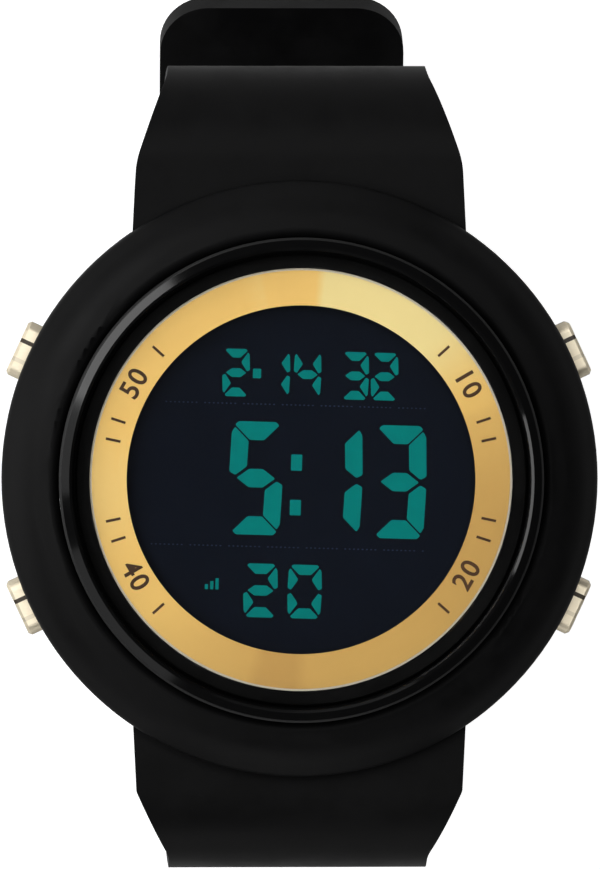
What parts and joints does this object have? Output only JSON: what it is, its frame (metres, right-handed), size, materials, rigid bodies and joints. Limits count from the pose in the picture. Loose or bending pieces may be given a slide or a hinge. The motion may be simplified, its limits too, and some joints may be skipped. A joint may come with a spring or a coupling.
{
  "type": "digital wristwatch",
  "caption": "Round digital wristwatch with a gold-coloured dial ring, push buttons on both sides and a black silicone strap, buckled in a loop under the case.",
  "frame": {"origin": "centre of the case back's outer face, on the dial's axis", "axes": "+Z out of the dial, +Y towards 12 o'clock, +X towards 3 o'clock"},
  "size_m": [0.05, 0.0749, 0.0585],
  "materials": {
    "black_silicone": "soft matt black silicone",
    "gloss_black_shell": "high-gloss black moulded shell",
    "clear_crystal": "polished clear crystal",
    "gold_ring": "satin pale gold colour",
    "brushed_steel": "brushed stainless steel",
    "screw_steel": "plain stainless steel",
    "spring_steel": "bright spring steel",
    "quartz_steel": "drawn metal can",
    "battery_steel": "nickel-plated steel",
    "spring_brass": "plain sheet brass",
    "coil_copper": "enamelled copper winding",
    "seal_rubber": "smooth black sealing rubber",
    "elastomer": "striped conducting elastomer",
    "polariser_film": "grey polarising film",
    "display_glass": "thin display glass",
    "light_panel_white": "diffusing white film",
    "module_plastic": "matt moulded plastic",
    "board_green": "green solder mask",
    "chip_black": "cast black resin",
    "ceramic_white": "silvered white ceramic",
    "buckle_black": "black coated steel"
  },
  "bodies": {
    "case": {"back_gasket": "seal_rubber", "back_screws": "screw_steel", "battery": "battery_steel", "battery_contact": "spring_brass", "battery_strap": "brushed_steel", "booster_coil": "coil_copper", "buzzer_ceramic": "ceramic_white", "buzzer_disc": "spring_brass", "buzzer_spring": "spring_steel", "case_back": "brushed_steel", "case_body": "gloss_black_shell", "circuit_board": "board_green", "connector_strips": "elastomer", "crystal": "clear_crystal", "crystal_gasket": "seal_rubber", "dial_ring": "gold_ring", "fixed_keeper": "black_silicone", "front_glass": "display_glass", "front_polariser": "polariser_film", "guide_tubes": "screw_steel", "leaf_contacts": "spring_brass", "light_panel": "light_panel_white", "long_strap": "black_silicone", "module_frame": "module_plastic", "module_screws": "screw_steel", "outer_ring": "black_silicone", "pusher_spring_lower_left": "spring_steel", "pusher_spring_lower_right": "spring_steel", "pusher_spring_upper_left": "spring_steel", "pusher_spring_upper_right": "spring_steel", "quartz_can": "quartz_steel", "rear_glass": "display_glass", "rear_polariser": "polariser_film", "short_strap": "black_silicone", "stem_seals": "seal_rubber", "strap_bars": "brushed_steel", "timing_chip": "chip_black"},
    "pusher_upper_right": {"pusher_upper_right": "gold_ring", "pusher_clip_upper_right": "spring_steel"},
    "pusher_upper_left": {"pusher_upper_left": "gold_ring", "pusher_clip_upper_left": "spring_steel"},
    "pusher_lower_left": {"pusher_lower_left": "gold_ring", "pusher_clip_lower_left": "spring_steel"},
    "pusher_lower_right": {"pusher_lower_right": "gold_ring", "pusher_clip_lower_right": "spring_steel"},
    "buckle": {"buckle_frame": "buckle_black", "buckle_bar": "brushed_steel"},
    "tongue": {"buckle_tongue": "buckle_black"},
    "keeper": {"free_keeper": "black_silicone"}
  },
  "joints": [
    {"name": "pusher_upper_right_press", "type": "slide", "parent": "case", "child": "pusher_upper_right", "axis": [-0.9063, -0.4226, 0], "range_m": [0, 0.0007], "stiffness_N_per_m": 1500, "springref_m": -0.001, "deforming": ["pusher_spring_upper_right"]},
    {"name": "pusher_upper_left_press", "type": "slide", "parent": "case", "child": "pusher_upper_left", "axis": [0.9063, -0.4226, 0], "range_m": [0, 0.0007], "stiffness_N_per_m": 1500, "springref_m": -0.001, "deforming": ["pusher_spring_upper_left"]},
    {"name": "pusher_lower_left_press", "type": "slide", "parent": "case", "child": "pusher_lower_left", "axis": [0.9063, 0.4226, 0], "range_m": [0, 0.0007], "stiffness_N_per_m": 1500, "springref_m": -0.001, "deforming": ["pusher_spring_lower_left"]},
    {"name": "pusher_lower_right_press", "type": "slide", "parent": "case", "child": "pusher_lower_right", "axis": [-0.9063, 0.4226, 0], "range_m": [0, 0.0007], "stiffness_N_per_m": 1500, "springref_m": -0.001, "deforming": ["pusher_spring_lower_right"]},
    {"name": "buckle_frame_hinge", "type": "hinge", "parent": "case", "child": "buckle", "pos_m": [0, 0.001, -0.0384], "axis": [1, 0, 0], "range_deg": [0, 15]},
    {"name": "buckle_tongue_hinge", "type": "hinge", "parent": "buckle", "child": "tongue", "pos_m": [0, 0.001, -0.0384], "axis": [1, 0, 0], "range_deg": [0, 30]},
    {"name": "free_keeper_slide", "type": "slide", "parent": "case", "child": "keeper", "axis": [0, 1, 0], "range_m": [-0.0022, 0.0022]}
  ]
}
